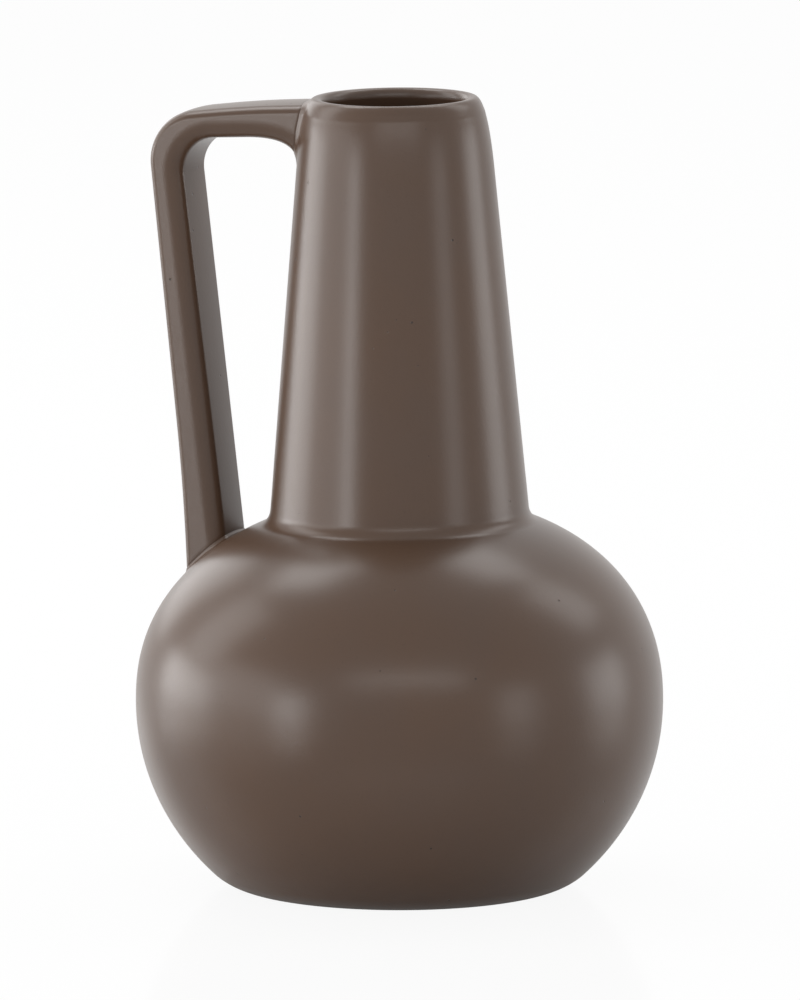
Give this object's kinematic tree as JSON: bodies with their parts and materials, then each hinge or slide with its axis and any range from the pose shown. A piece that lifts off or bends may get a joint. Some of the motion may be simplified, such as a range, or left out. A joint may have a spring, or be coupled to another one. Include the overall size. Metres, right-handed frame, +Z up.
{
  "type": "jug vase",
  "caption": "Round-bellied stoneware jug vase with a tall tapered neck and an angular strap handle from rim to shoulder, for cut stems or dried branches.",
  "frame": {"origin": "on the globe's axis, at the level of the foot ring that the vase stands on, which is the middle of the bottom of its box", "axes": "+Z up, along the vase's length; the handle points to -X, and the vase is mirror-symmetric about the plane Y = 0"},
  "size_m": [0.1594, 0.1594, 0.2403],
  "materials": {
    "taupe_glaze": "satin-matte taupe brown glaze over fired stoneware"
  },
  "bodies": {
    "root": {"globe": "taupe_glaze", "neck": "taupe_glaze", "handle": "taupe_glaze"}
  },
  "joints": []
}
